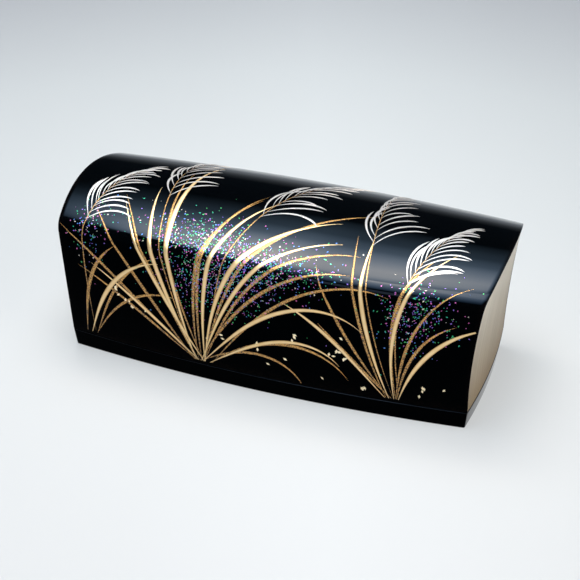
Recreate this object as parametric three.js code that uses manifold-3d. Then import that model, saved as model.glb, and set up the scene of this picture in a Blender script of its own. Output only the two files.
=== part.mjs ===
// A long lacquered coffer: a shallow bowed base carrying a jointed inner body, and a
// deep vaulted cover that slides down over it and rests on the base band.
// Millimetres, +Z up, the long side along X, the front towards -Y.
// Every board is first laid out on a straight-sided coffer and then swelled, so that the
// sides, ends and crown all take the gentle outward bow of the finished box.

import * as THREE from 'three';
import { mergeVertices } from 'three/addons/utils/BufferGeometryUtils.js';
import Module from 'manifold-3d';

const wasm = await Module();
wasm.setup();

// Plan of the coffer at the seam, measured at its corners
const seamHalfLength = 140;
const seamHalfDepth = 54.2;
const frontBow = 9.2;
const endBow = 3.1;

// How the plan changes towards the crown
const bowLostAtCrown = 2.4;
const endFlare = 7.4;
const crownCamber = 0.9;

// Section across the cover: a wall arc, a tight shoulder arc and a flat crown arc
const seamHeight = 13.8;
const wallTopHeight = 91.3;
const wallTopHalfDepth = 57.8;
const wallBulge = 2.45;
const shoulderRadius = 10.2;
const crownHeight = 112.2;

// Boards of the cover
const coverThickness = 5.5;
const endBoardThickness = 5.5;
const endRim = 1.1;
const endBoardSet = 0.2;
const crownStaveCount = 3;
const crownStaveWidth = 26;
const tongueThickness = 1.8;
const tongueReach = 2.2;

// Base band
const footTaperDepth = 2.1;
const footTaperLength = 1.4;
const footRounding = 1.4;
const seamEase = 0.5;
const keyThickness = 2;
const keyHeight = 6;
const keyArm = 7;
const keyWidth = 3.5;

// Inner body
const bodyWall = 4;
const bodyTop = 78;
const bottomThickness = 5.6;
const bottomLap = 2.6;
const fingerCount = 9;

// Clearances
const coverClearance = 0.5;
const jointGap = 0.3;
const seamGap = 0.3;

// Fineness of the facets
const lengthSteps = 14;
const depthSteps = 8;
const panelRows = 9;
const footArcSteps = 3;
const wallStep = 2.8;
const shoulderStep = 8.6;
const crownStep = 3.4;

const degrees = Math.PI / 180;
const weldDistance = 1e-3;
const sameAngle = 1e-6;
const overshoot = 12;

// Places that follow from the sizes above
const frontLedge = coverThickness + coverClearance;
const endLedge = endBoardSet + endBoardThickness + coverClearance;
const bodyHalfLength = seamHalfLength - endLedge - jointGap;
const bodyHalfDepth = seamHalfDepth - frontLedge - jointGap;
const coverFoot = seamHeight + seamGap;
const arcs = sectionArcs();
const seamAngle = arcs[0].from;

const lacquer = new THREE.MeshStandardMaterial({ color: 0x0b0c10, roughness: 0.1, metalness: 0 });
const innerLacquer = new THREE.MeshStandardMaterial({ color: 0x101012, roughness: 0.25, metalness: 0 });
const paleBoard = new THREE.MeshStandardMaterial({ color: 0xb3a68f, roughness: 0.5, metalness: 0 });

// The swell: where a point of the straight-sided coffer lies on the bowed one.
// planHeight is the height whose plan the point follows.
function swell(x, y, z, planHeight) {
  const rise = Math.max(0, (planHeight - seamHeight) / (crownHeight - seamHeight));
  const fullness = 1 - (x / seamHalfLength) ** 2;
  const sideBow = frontBow - bowLostAtCrown * rise;
  const endReach = endBow * (1 - (y / seamHalfDepth) ** 2) + endFlare * rise * rise;
  return new THREE.Vector3(
    x * (1 + endReach / seamHalfLength),
    y * (1 + (sideBow / seamHalfDepth) * fullness),
    z + crownCamber * fullness * rise,
  );
}

// Cover boards follow the plan at their own height
function swellCover(point) {
  return swell(point.x, point.y, point.z, point.z);
}

// Base and body boards stand upright, so they follow the plan at the seam
function swellBase(point) {
  return swell(point.x, point.y, point.z, seamHeight);
}

// A closed solid from a geometry whose points are first moved by the given swell
function solidFrom(geometry, move) {
  const bare = geometry.clone();
  bare.deleteAttribute('normal');
  bare.deleteAttribute('uv');
  const places = bare.getAttribute('position');
  const point = new THREE.Vector3();
  for (let i = 0; i < places.count; i += 1) {
    point.fromBufferAttribute(places, i);
    const moved = move(point);
    places.setXYZ(i, moved.x, moved.y, moved.z);
  }
  const merged = mergeVertices(bare, weldDistance);
  const vertProperties = new Float32Array(merged.getAttribute('position').array);
  const triVerts = new Uint32Array(merged.getIndex().array);
  return new wasm.Manifold(new wasm.Mesh({ numProp: 3, vertProperties, triVerts }));
}

function meshFrom(name, solid, material) {
  const cut = solid.getMesh();
  const geometry = new THREE.BufferGeometry();
  geometry.setAttribute('position', new THREE.BufferAttribute(cut.vertProperties, 3));
  geometry.setIndex(new THREE.BufferAttribute(cut.triVerts, 1));
  geometry.computeVertexNormals();
  const mesh = new THREE.Mesh(geometry, material);
  mesh.name = name;
  return mesh;
}

// An upright block between two corners, with its faces divided so that they can bend
function block(low, high, pieces) {
  const size = new THREE.Vector3().subVectors(high, low);
  const middle = new THREE.Vector3().addVectors(low, high).multiplyScalar(0.5);
  const geometry = new THREE.BoxGeometry(size.x, size.y, size.z, ...pieces);
  geometry.translate(middle.x, middle.y, middle.z);
  return geometry;
}

// The half-section's three tangent arcs, each named by the angle of its outward normal
// above the horizontal: the wall, the shoulder and the crown
function sectionArcs() {
  const chord = Math.hypot(wallTopHalfDepth - seamHalfDepth, wallTopHeight - seamHeight);
  const lean = Math.atan2(wallTopHalfDepth - seamHalfDepth, wallTopHeight - seamHeight);
  const wallRadius = (chord * chord / 4 + wallBulge * wallBulge) / (2 * wallBulge);
  const spread = Math.asin(chord / 2 / wallRadius);
  const wallEnd = spread - lean;
  const toCentre = (radius) => ({
    y: wallTopHalfDepth - radius * Math.cos(wallEnd),
    z: wallTopHeight - radius * Math.sin(wallEnd),
  });
  const shoulder = toCentre(shoulderRadius);
  const drop = crownHeight - shoulder.z;
  const crownRadius = (shoulder.y ** 2 + drop ** 2 - shoulderRadius ** 2) / (2 * (drop - shoulderRadius));
  const crown = { y: 0, z: crownHeight - crownRadius };
  const crownStart = Math.atan2(shoulder.z - crown.z, shoulder.y);
  return [
    { centre: toCentre(wallRadius), radius: wallRadius, from: -spread - lean, to: wallEnd, step: wallStep },
    { centre: shoulder, radius: shoulderRadius, from: wallEnd, to: crownStart, step: shoulderStep },
    { centre: crown, radius: crownRadius, from: crownStart, to: Math.PI / 2, step: crownStep },
  ];
}

// A point of the section, at a depth below the outer face. The angle runs from the front
// seam, over the crown at a right angle, to the back seam.
function sectionPoint(angle, depth) {
  const onFront = angle <= Math.PI / 2;
  const raised = onFront ? angle : Math.PI - angle;
  const arc = arcs.find((a) => raised <= a.to) ?? arcs[arcs.length - 1];
  const reach = arc.radius - depth;
  const y = arc.centre.y + reach * Math.cos(raised);
  return new THREE.Vector2(onFront ? -y : y, arc.centre.z + reach * Math.sin(raised));
}

// The angle at which a wall face, at a depth below the outer one, is at a height
function wallAngleAt(height, depth) {
  const wall = arcs[0];
  return Math.asin((height - wall.centre.z) / (wall.radius - depth));
}

// Angles strictly between two others, close enough for each arc they cross
function anglesBetween(start, end) {
  const mirror = (arc) => ({ from: Math.PI - arc.to, to: Math.PI - arc.from, step: arc.step });
  const mirrored = [...arcs].reverse().map(mirror);
  const found = [];
  for (const arc of [...arcs, ...mirrored]) {
    const from = Math.max(start, arc.from);
    const to = Math.min(end, arc.to);
    const count = Math.ceil((to - from) / (arc.step * degrees));
    for (let i = 0; i < count; i += 1) {
      found.push(from + (to - from) * i / count);
    }
  }
  return found.filter((angle) => angle > start + sameAngle && angle < end - sameAngle);
}

// A corner of a joint between two staves: depth below the face, and travel past the joint
function jointPoint(angle, depth, travel) {
  const point = sectionPoint(angle, depth);
  point.x += travel * Math.sin(angle);
  point.y += travel * Math.cos(angle);
  return point;
}

const tongueTop = (coverThickness - tongueThickness) / 2;
const tongueFoot = tongueTop + tongueThickness;

// The edge of a stave that carries a tongue, from the outer face to the inner one
function tongueEdge(angle) {
  const half = jointGap / 2;
  return [
    jointPoint(angle, 0, -half),
    jointPoint(angle, tongueTop, -half),
    jointPoint(angle, tongueTop, tongueReach),
    jointPoint(angle, tongueFoot, tongueReach),
    jointPoint(angle, tongueFoot, -half),
    jointPoint(angle, coverThickness, -half),
  ];
}

// The edge of a stave that takes a tongue, from the inner face to the outer one
function grooveEdge(angle) {
  const half = jointGap / 2;
  return [
    jointPoint(angle, coverThickness, half),
    jointPoint(angle, tongueFoot + jointGap, half),
    jointPoint(angle, tongueFoot + jointGap, tongueReach + jointGap),
    jointPoint(angle, tongueTop - jointGap, tongueReach + jointGap),
    jointPoint(angle, tongueTop - jointGap, half),
    jointPoint(angle, 0, half),
  ];
}

// The foot of a wall board, flat where it rests on the base band and eased outside,
// from the inner face to the outer one
function footEdge(onFront) {
  const corners = [
    sectionPoint(wallAngleAt(coverFoot, coverThickness), coverThickness),
    sectionPoint(wallAngleAt(coverFoot, seamEase), seamEase),
    sectionPoint(wallAngleAt(coverFoot + seamEase, 0), 0),
  ];
  if (onFront) {
    return corners;
  }
  return corners.reverse().map((corner) => new THREE.Vector2(-corner.x, corner.y));
}

// One board of the cover, swept along the coffer between two joint angles
function coverBoard(start, end, startEdge, endEdge) {
  const between = anglesBetween(start, end);
  const outer = between.map((angle) => sectionPoint(angle, 0));
  const inner = between.map((angle) => sectionPoint(angle, coverThickness)).reverse();
  const outline = new THREE.Shape([...outer, ...endEdge, ...inner, ...startEdge]);
  const along = { depth: 2 * seamHalfLength, steps: lengthSteps, bevelEnabled: false };
  const sweep = new THREE.ExtrudeGeometry(outline, along);
  const board = solidFrom(sweep, (p) => swellCover(new THREE.Vector3(p.z - seamHalfLength, p.x, p.y)));
  return board.subtract(endRebate(1)).subtract(endRebate(-1));
}

// The vaulted space at one end of the coffer, at a depth under the cover's outer face
function endVault(side, depth) {
  const footAngle = seamAngle - overshoot * degrees;
  const angles = [footAngle, seamAngle, ...anglesBetween(seamAngle, Math.PI - seamAngle)];
  angles.push(Math.PI - seamAngle, Math.PI - footAngle);
  const outline = new THREE.Shape(angles.map((angle) => sectionPoint(angle, depth)));
  const reach = 2 * overshoot + endBoardThickness;
  const middle = side * (seamHalfLength - endBoardThickness / 2) - reach / 2;
  const sweep = new THREE.ExtrudeGeometry(outline, { depth: reach, steps: 2, bevelEnabled: false });
  return solidFrom(sweep, (p) => swellCover(new THREE.Vector3(p.z + middle, p.x, p.y)));
}

// A slab across the coffer that bows with its end, between two distances from the middle
function endSlab(side, near, far, foot) {
  const halfWidth = wallTopHalfDepth + overshoot;
  const low = new THREE.Vector3(Math.min(side * near, side * far), -halfWidth, foot);
  const high = new THREE.Vector3(Math.max(side * near, side * far), halfWidth, crownHeight + overshoot);
  return solidFrom(block(low, high, [1, depthSteps, panelRows]), swellCover);
}

// What an end board takes out of the cover's boards
function endRebate(side) {
  const floor = seamHalfLength - endBoardSet - endBoardThickness - jointGap;
  return endSlab(side, floor, seamHalfLength + overshoot / 2, 0).intersect(endVault(side, endRim));
}

// A pale board that closes one end of the cover, seated in the rebate
function endBoard(side) {
  const far = seamHalfLength - endBoardSet;
  const slab = endSlab(side, far - endBoardThickness, far, coverFoot);
  return slab.intersect(endVault(side, endRim + jointGap));
}

// The cover: front wall, shoulder, crown staves, shoulder and back wall, then its ends
function buildCover() {
  const cover = new THREE.Group();
  const crown = arcs[2];
  const staveTurn = crownStaveWidth / crown.radius;
  const firstCrown = Math.PI / 2 - staveTurn * crownStaveCount / 2;
  const wallJoint = arcs[0].to;
  const backJoint = Math.PI - wallJoint;
  const joints = [wallJoint];
  for (let i = 0; i <= crownStaveCount; i += 1) {
    joints.push(firstCrown + i * staveTurn);
  }
  joints.push(backJoint);

  const frontWall = coverBoard(seamAngle, wallJoint, footEdge(true), tongueEdge(wallJoint));
  cover.add(meshFrom('lid_wall_front', frontWall, lacquer));
  const staveNames = ['lid_shoulder_front'];
  for (let i = 0; i < crownStaveCount; i += 1) {
    staveNames.push(`lid_crown_stave_${i + 1}`);
  }
  staveNames.push('lid_shoulder_back');
  staveNames.forEach((name, i) => {
    const stave = coverBoard(joints[i], joints[i + 1], grooveEdge(joints[i]), tongueEdge(joints[i + 1]));
    cover.add(meshFrom(name, stave, lacquer));
  });
  const backWall = coverBoard(backJoint, Math.PI - seamAngle, grooveEdge(backJoint), footEdge(false));
  cover.add(meshFrom('lid_wall_back', backWall, lacquer));

  cover.add(meshFrom('lid_end_left', endBoard(-1), paleBoard));
  cover.add(meshFrom('lid_end_right', endBoard(1), paleBoard));
  return cover;
}

// A place measured along and into one side of the base, turned to that side:
// 0 is the front, 1 the right, 2 the back and 3 the left
function onSide(side, along, across) {
  const places = [[along, across], [-across, along], [-along, -across], [across, -along]];
  return places[side];
}

// The base band's profile from the floor to the seam: height and distance in from the face
function bandLevels(taper) {
  const insetAt = (height) => taper * (1 - height / seamHeight);
  const levels = [];
  for (let i = 0; i <= footArcSteps; i += 1) {
    const turn = (i / footArcSteps) * Math.PI / 2;
    const height = footRounding * (1 - Math.cos(turn));
    levels.push({ height, inset: insetAt(height) + footRounding * (1 - Math.sin(turn)) });
  }
  levels.push({ height: seamHeight - seamEase, inset: insetAt(seamHeight - seamEase) });
  levels.push({ height: seamHeight, inset: seamEase });
  return levels;
}

// One mitred rail of the base band, with slots for the keys at its two corners
function bandRail(side) {
  const long = side % 2 === 0;
  const half = long ? seamHalfDepth : seamHalfLength;
  const ledge = long ? frontLedge : endLedge;
  const otherHalf = long ? seamHalfLength : seamHalfDepth;
  const otherLedge = long ? endLedge : frontLedge;
  const levels = bandLevels(long ? footTaperDepth : footTaperLength);
  const otherLevels = bandLevels(long ? footTaperLength : footTaperDepth);
  const mitreGap = jointGap * Math.SQRT1_2;
  const steps = long ? lengthSteps : depthSteps;
  const rail = new THREE.BoxGeometry(2, 1, levels.length - 1, steps, 1, levels.length - 1);
  rail.translate(0, 0, (levels.length - 1) / 2);
  let solid = solidFrom(rail, (p) => {
    const level = Math.round(p.z);
    const outward = 0.5 - p.y;
    const length = otherHalf - THREE.MathUtils.lerp(otherLedge, otherLevels[level].inset, outward) - mitreGap;
    const across = THREE.MathUtils.lerp(ledge, levels[level].inset, outward) - half;
    const [x, y] = onSide(side, p.x * length, across);
    return swellBase(new THREE.Vector3(x, y, levels[level].height));
  });
  for (const corner of [side, (side + 1) % 4]) {
    solid = solid.subtract(cornerKey(corner, jointGap));
  }
  return solid;
}

// A chevron key let into the mitre from inside. Corner 0 is front left, and the others
// follow counter-clockwise. The room is added all round for the slot that takes it.
function cornerKey(corner, room) {
  const xSign = [-1, 1, 1, -1][corner];
  const ySign = [-1, -1, 1, 1][corner];
  const inX = seamHalfLength - endLedge - room;
  const inY = seamHalfDepth - frontLedge - room;
  const wide = keyWidth + 2 * room;
  const arm = keyArm + 2 * room;
  const outline = [
    [inX - arm, inY],
    [inX, inY],
    [inX, inY - arm],
    [inX + wide, inY - arm + wide],
    [inX + wide, inY + wide],
    [inX - arm + wide, inY + wide],
  ];
  const shape = new THREE.Shape(outline.map(([x, y]) => new THREE.Vector2(x * xSign, y * ySign)));
  const depth = keyThickness + 2 * room;
  const key = new THREE.ExtrudeGeometry(shape, { depth, bevelEnabled: false });
  key.translate(0, 0, keyHeight - room);
  return solidFrom(key, swellBase);
}

// The bottom board: a thin lap under the body walls and a raised field between them
function bottomBoard() {
  const lapLow = new THREE.Vector3(-bodyHalfLength, -bodyHalfDepth, 0);
  const lapHigh = new THREE.Vector3(bodyHalfLength, bodyHalfDepth, bottomLap);
  const inward = bodyWall + jointGap;
  const fieldLow = new THREE.Vector3(inward - bodyHalfLength, inward - bodyHalfDepth, bottomLap / 2);
  const fieldHigh = new THREE.Vector3(bodyHalfLength - inward, bodyHalfDepth - inward, bottomThickness);
  const pieces = [lengthSteps, depthSteps, 1];
  const lap = solidFrom(block(lapLow, lapHigh, pieces), swellBase);
  return lap.add(solidFrom(block(fieldLow, fieldHigh, pieces), swellBase));
}

// One wall of the inner body, finger-jointed at both ends. The long walls keep the even
// fingers and the short walls the odd ones.
function bodyWallBoard(side) {
  const long = side % 2 === 0;
  const half = long ? bodyHalfLength : bodyHalfDepth;
  const face = long ? bodyHalfDepth : bodyHalfLength;
  const foot = bottomLap + jointGap;
  const steps = long ? lengthSteps : depthSteps;
  const low = new THREE.Vector3(-half, -face, foot);
  const high = new THREE.Vector3(half, bodyWall - face, bodyTop);
  const board = block(low, high, [steps, 1, 1]);
  const placed = (p) => {
    const [x, y] = onSide(side, p.x, p.y);
    return swellBase(new THREE.Vector3(x, y, p.z));
  };
  let solid = solidFrom(board, placed);
  const pitch = (bodyTop - foot) / fingerCount;
  for (let i = long ? 1 : 0; i < fingerCount; i += 2) {
    const notchFoot = i === 0 ? foot - overshoot : foot + i * pitch - jointGap / 2;
    const notchTop = i === fingerCount - 1 ? bodyTop + overshoot : foot + (i + 1) * pitch + jointGap / 2;
    for (const end of [-1, 1]) {
      const inner = end * (half - bodyWall - jointGap);
      const outer = end * (half + overshoot);
      const cornerLow = new THREE.Vector3(Math.min(inner, outer), -face - overshoot, notchFoot);
      const cornerHigh = new THREE.Vector3(Math.max(inner, outer), bodyWall - face + overshoot / 2, notchTop);
      solid = solid.subtract(solidFrom(block(cornerLow, cornerHigh, [1, 1, 1]), placed));
    }
  }
  return solid;
}

// The base: band rails, their keys, the bottom board and the walls of the inner body
function buildBase() {
  const base = new THREE.Group();
  const sideNames = ['front', 'right', 'back', 'left'];
  const cornerNames = ['front_left', 'front_right', 'back_right', 'back_left'];
  sideNames.forEach((name, side) => {
    base.add(meshFrom(`base_band_${name}`, bandRail(side), lacquer));
  });
  cornerNames.forEach((name, corner) => {
    base.add(meshFrom(`band_key_${name}`, cornerKey(corner, 0), paleBoard));
  });
  base.add(meshFrom('bottom_board', bottomBoard(), innerLacquer));
  sideNames.forEach((name, side) => {
    base.add(meshFrom(`body_wall_${name}`, bodyWallBoard(side), innerLacquer));
  });
  return base;
}

const coffer = new THREE.Group();
coffer.name = 'lacquer_coffer';
coffer.add(buildBase());
coffer.add(buildCover());

export default coffer;
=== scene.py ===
# A long lacquer coffer dressed for the studio: polished black urushi on the cover and base band,
# pale satin boards at the ends, and a raised design of autumn grasses over the vault.
# Lengths are millimetres until a mesh is made.

import math

import bmesh
import bpy
import numpy as np
from mathutils import Matrix, Vector


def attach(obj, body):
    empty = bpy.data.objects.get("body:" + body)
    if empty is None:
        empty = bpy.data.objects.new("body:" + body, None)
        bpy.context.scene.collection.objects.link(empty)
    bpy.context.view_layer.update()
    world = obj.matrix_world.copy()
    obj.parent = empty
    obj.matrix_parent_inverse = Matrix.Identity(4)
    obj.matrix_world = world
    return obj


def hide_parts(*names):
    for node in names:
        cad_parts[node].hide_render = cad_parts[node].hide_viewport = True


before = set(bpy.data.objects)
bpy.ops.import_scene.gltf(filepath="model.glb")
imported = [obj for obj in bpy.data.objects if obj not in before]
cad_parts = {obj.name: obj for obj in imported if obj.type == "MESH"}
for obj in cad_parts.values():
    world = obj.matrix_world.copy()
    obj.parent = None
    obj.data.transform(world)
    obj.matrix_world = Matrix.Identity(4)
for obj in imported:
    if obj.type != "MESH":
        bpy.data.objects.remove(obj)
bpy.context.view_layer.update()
metresPerMm = 0.001
sharpDegrees = 38  # faces that meet at more than this keep a hard edge
hair = 0.01  # keeps a comparison of lengths clear of rounding
print("frame loaded,", len(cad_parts), "CAD nodes")

# The form of the coffer, with the sizes that the CAD part has
coffer = {
    "halfLength": 140,
    "halfDepth": 54.2,
    "frontBow": 9.2,
    "endBow": 3.1,
    "bowLostAtCrown": 2.4,
    "endFlare": 7.4,
    "crownCamber": 0.9,
    "seamHeight": 13.8,
    "wallTopHeight": 91.3,
    "wallTopHalfDepth": 57.8,
    "wallBulge": 2.45,
    "shoulderRadius": 10.2,
    "crownHeight": 112.2,
}


# Form: one section of arcs all along the box, then swelled outwards along the plan. An angle is
# that of the outward normal, from the front seam over the crown at 90 degrees to the back seam.


def swell(x, y, z, planHeight):
    climb = (planHeight - coffer["seamHeight"]) / (coffer["crownHeight"] - coffer["seamHeight"])
    rise = np.maximum(0, climb)
    fullness = 1 - (x / coffer["halfLength"]) ** 2
    sideBow = coffer["frontBow"] - coffer["bowLostAtCrown"] * rise
    endReach = coffer["endBow"] * (1 - (y / coffer["halfDepth"]) ** 2) + coffer["endFlare"] * rise**2
    return np.stack(
        [
            x * (1 + endReach / coffer["halfLength"]),
            y * (1 + sideBow / coffer["halfDepth"] * fullness),
            z + coffer["crownCamber"] * fullness * rise,
        ],
        axis=-1,
    )


def sectionArcs():
    out = coffer["wallTopHalfDepth"] - coffer["halfDepth"]
    up = coffer["wallTopHeight"] - coffer["seamHeight"]
    chord, lean, bulge = math.hypot(out, up), math.atan2(out, up), coffer["wallBulge"]
    wallRadius = (chord**2 / 4 + bulge**2) / (2 * bulge)
    spread = math.asin(chord / 2 / wallRadius)
    wallEnd = spread - lean

    def centreFor(radius):
        y = coffer["wallTopHalfDepth"] - radius * math.cos(wallEnd)
        return y, coffer["wallTopHeight"] - radius * math.sin(wallEnd)

    tight = coffer["shoulderRadius"]
    shoulderY, shoulderZ = centreFor(tight)
    drop = coffer["crownHeight"] - shoulderZ
    crownRadius = (shoulderY**2 + drop**2 - tight**2) / (2 * (drop - tight))
    crownZ = coffer["crownHeight"] - crownRadius
    crownStart = math.atan2(shoulderZ - crownZ, shoulderY)
    return [
        {"centre": centreFor(wallRadius), "radius": wallRadius, "start": -spread - lean, "end": wallEnd},
        {"centre": (shoulderY, shoulderZ), "radius": tight, "start": wallEnd, "end": crownStart},
        {"centre": (0, crownZ), "radius": crownRadius, "start": crownStart, "end": math.pi / 2},
    ]


arcs = sectionArcs()
arcLengths = [arc["radius"] * (arc["end"] - arc["start"]) for arc in arcs]
girthKnots = np.concatenate([[0], np.cumsum(arcLengths)])  # distance up the section from the front seam
angleKnots = [arcs[0]["start"]] + [arc["end"] for arc in arcs]
crownGirth = girthKnots[-1]


def sectionPoint(angle, depth):
    raised = np.minimum(angle, math.pi - angle)
    inWall = raised <= arcs[0]["end"]
    inShoulder = raised <= arcs[1]["end"]
    pick = [inWall, inShoulder, np.ones_like(inWall)]
    reach = np.select(pick, [arc["radius"] for arc in arcs]) - depth
    y = np.select(pick, [arc["centre"][0] for arc in arcs]) + reach * np.cos(raised)
    z = np.select(pick, [arc["centre"][1] for arc in arcs]) + reach * np.sin(raised)
    return np.where(angle <= math.pi / 2, -y, y), z


def coverPoint(x, angle, depth):
    y, z = sectionPoint(angle, depth)
    return swell(x, y, z, z)


def angleAtGirth(girth):
    angle = np.interp(np.minimum(girth, 2 * crownGirth - girth), girthKnots, angleKnots)
    return np.where(girth <= crownGirth, angle, math.pi - angle)


def wallAngleAt(height, depth):
    return np.arcsin((height - arcs[0]["centre"][1]) / (arcs[0]["radius"] - depth))


# Meshes


def makeObject(
    name, points, faces, material, attributes=None, stands=(), body="cover"
):
    mesh = bpy.data.meshes.new(name)
    mesh.from_pydata((np.asarray(points) * metresPerMm).tolist(), [], faces)
    for attributeName, values in (attributes or {}).items():
        layer = mesh.attributes.new(attributeName, "FLOAT", "POINT")
        layer.data.foreach_set("value", np.asarray(values, np.float32))
    work = bmesh.new()
    work.from_mesh(mesh)
    bmesh.ops.recalc_face_normals(work, faces=work.faces)
    work.to_mesh(mesh)
    work.free()
    mesh.materials.append(material)
    mesh.shade_smooth()
    mesh.set_sharp_from_angle(angle=math.radians(sharpDegrees))
    obj = bpy.data.objects.new(name, mesh)
    bpy.context.scene.collection.objects.link(obj)
    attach(obj, body)
    if stands:
        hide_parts(*stands)
    return obj


def gridFaces(rowCount, columnCount, rowsClose=False, columnsClose=False):
    rows = np.arange(rowCount if rowsClose else rowCount - 1)
    columns = np.arange(columnCount if columnsClose else columnCount - 1)
    row, column = np.meshgrid(rows, columns, indexing="ij")
    nextRow, nextColumn = (row + 1) % rowCount, (column + 1) % columnCount
    corners = [
        row * columnCount + column,
        row * columnCount + nextColumn,
        nextRow * columnCount + nextColumn,
        nextRow * columnCount + column,
    ]
    return np.stack(corners, axis=-1).reshape(-1, 4).tolist()


def quarterTurn(steps):
    return np.linspace(0, math.pi / 2, steps + 1)


# Node trees


def srgb(code):
    def toLinear(channel):
        return channel / 12.92 if channel <= 0.04045 else ((channel + 0.055) / 1.055) ** 2.4

    channels = [int(code[i : i + 2], 16) / 255 for i in (1, 3, 5)]
    return (*[toLinear(channel) for channel in channels], 1)


# A setting is the node's own or an input's. A link comes from a socket, or from a node's output in use.
def fitNode(tree, node, settings=None, links=None):
    for key, value in (settings or {}).items():
        if isinstance(key, str) and hasattr(node, key):
            setattr(node, key, value)
        else:
            node.inputs[key].default_value = value
    for key, source in (links or {}).items():
        if isinstance(source, bpy.types.Node):
            source = next(output for output in source.outputs if output.enabled)
        tree.links.new(source, node.inputs[key])
    return node


def addNode(tree, kind, settings=None, links=None):
    return fitNode(tree, tree.nodes.new("ShaderNode" + kind), settings, links)


def setStops(ramp, stops, interpolation="LINEAR"):
    ramp.color_ramp.interpolation = interpolation
    elements = ramp.color_ramp.elements
    while len(elements) < len(stops):
        elements.new(1)
    for element, (position, code) in zip(elements, stops):
        element.position = position
        element.color = srgb(code)
    return ramp


def newSurface(name):
    material = bpy.data.materials.new(name)
    material.use_nodes = True
    tree = material.node_tree
    place = addNode(tree, "TexCoord").outputs["Object"]
    return material, tree, tree.nodes["Principled BSDF"], place


# Noise scale whose features are about this large
def perMetre(featureMm):
    return 1 / (featureMm * metresPerMm)


# Mapping settings for features that are about this large along each axis
def stretched(*featureMm):
    return {"Scale": [perMetre(size) for size in featureMm]}


multiplied = {"data_type": "RGBA", "blend_type": "MULTIPLY"}

# Black urushi, roiro-polished: a deep, nearly mirror black. The eye sees it only by what it
# reflects, a little wavy because the ground under it was levelled by hand, and browner and
# duller where an edge has been rubbed. At full level it gives back the whole room in a cool tone.
# A copy with its mirror nearly turned off is a painted shade: it gives back far less of a pale floor and
# looks blacker.
polishedUrushi = {
    "noise": {"groundWave": (62, 1), "polishMark": (1.6, 3), "cloud": (21, 4)},  # mm across, detail
    "waveDepth": 0.00022,
    "markDepth": 0.0000012,
    "wearBreak": {"From Min": 0.4, "From Max": 0.75, "To Max": 0.6},
    "gloss": {"From Min": 0.3, "From Max": 0.75, "To Min": 0.03, "To Max": 0.075},
    "wornRoughness": 0.2,
    "colours": ("#000102", "#020304"),
    "wornColour": "#170F0B",
    "mirrorTint": "#768597",
}


def makePolishedUrushi(name, specularLevel):
    material, tree, shader, place = newSurface(name)
    noise = {}
    for part, (featureMm, detail) in polishedUrushi["noise"].items():
        settings = {"Scale": perMetre(featureMm), "Detail": detail}
        noise[part] = addNode(tree, "TexNoise", settings, {"Vector": place})
    wearMap = addNode(tree, "Attribute", {"attribute_name": "wear"}).outputs["Fac"]
    wearBreak = addNode(tree, "MapRange", polishedUrushi["wearBreak"], {"Value": noise["polishMark"]})
    worn = addNode(tree, "Math", {"operation": "MULTIPLY"}, {0: wearMap, 1: wearBreak})
    deep, pale = [srgb(code) for code in polishedUrushi["colours"]]
    body = addNode(tree, "Mix", {"data_type": "RGBA", 6: deep, 7: pale}, {"Factor": noise["cloud"]})
    brown = srgb(polishedUrushi["wornColour"])
    seen = addNode(tree, "Mix", {"data_type": "RGBA", 7: brown}, {"Factor": worn, 6: body})
    gloss = addNode(tree, "MapRange", polishedUrushi["gloss"], {"Value": noise["cloud"]})
    dulling = {"operation": "MULTIPLY_ADD", 1: polishedUrushi["wornRoughness"]}
    dulled = addNode(tree, "Math", dulling, {0: worn, 2: gloss})
    waves = addNode(tree, "Bump", {"Distance": polishedUrushi["waveDepth"]}, {"Height": noise["groundWave"]})
    onWaves = {"Height": noise["polishMark"], "Normal": waves}
    marks = addNode(tree, "Bump", {"Distance": polishedUrushi["markDepth"]}, onWaves)
    tint = srgb(polishedUrushi["mirrorTint"])
    mirror = {"IOR": 1.5, "Specular IOR Level": specularLevel, "Specular Tint": tint}
    fitNode(tree, shader, mirror, {"Base Color": seen, "Roughness": dulled, "Normal": marks})
    return material


# Black urushi left from the brush inside the box: satin, with faint brush lines along the boards
brushedUrushi = {
    "brushLine": (90, 1.1, 1.1),
    "lineDepth": 0.00001,
    "tones": [(0.3, "#0B0909"), (0.75, "#1A1513")],
    "satin": {"To Min": 0.24, "To Max": 0.4},
}


def makeBrushedUrushi():
    material, tree, shader, place = newSurface("brushedInnerUrushi")
    stretch = addNode(tree, "Mapping", stretched(*brushedUrushi["brushLine"]), {"Vector": place})
    brush = addNode(tree, "TexNoise", {"Scale": 1, "Detail": 2}, {"Vector": stretch})
    tone = setStops(addNode(tree, "ValToRGB", None, {"Fac": brush}), brushedUrushi["tones"])
    satin = addNode(tree, "MapRange", brushedUrushi["satin"], {"Value": brush})
    lines = addNode(tree, "Bump", {"Distance": brushedUrushi["lineDepth"]}, {"Height": brush})
    links = {"Base Color": tone, "Roughness": satin, "Normal": lines}
    fitNode(tree, shader, {"IOR": 1.5, "Specular IOR Level": 0.35}, links)
    return material


# Pale hardwood, planed and wax-rubbed: fine upright growth lines that are closer than a render
# shows, so they are drawn about 1 mm apart, over slow changes of tone
planedBoard = {
    "drift": (30, 30, 110),
    "sway": 0.014,
    "lineLength": 95,
    "pore": (0.5, 0.5, 9),
    "poreDepth": 0.000012,
    "mottling": 0.28,
    "footFade": {"From Min": 0.015, "From Max": 0.1},  # metres up, where the foot's tone fades
}


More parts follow.
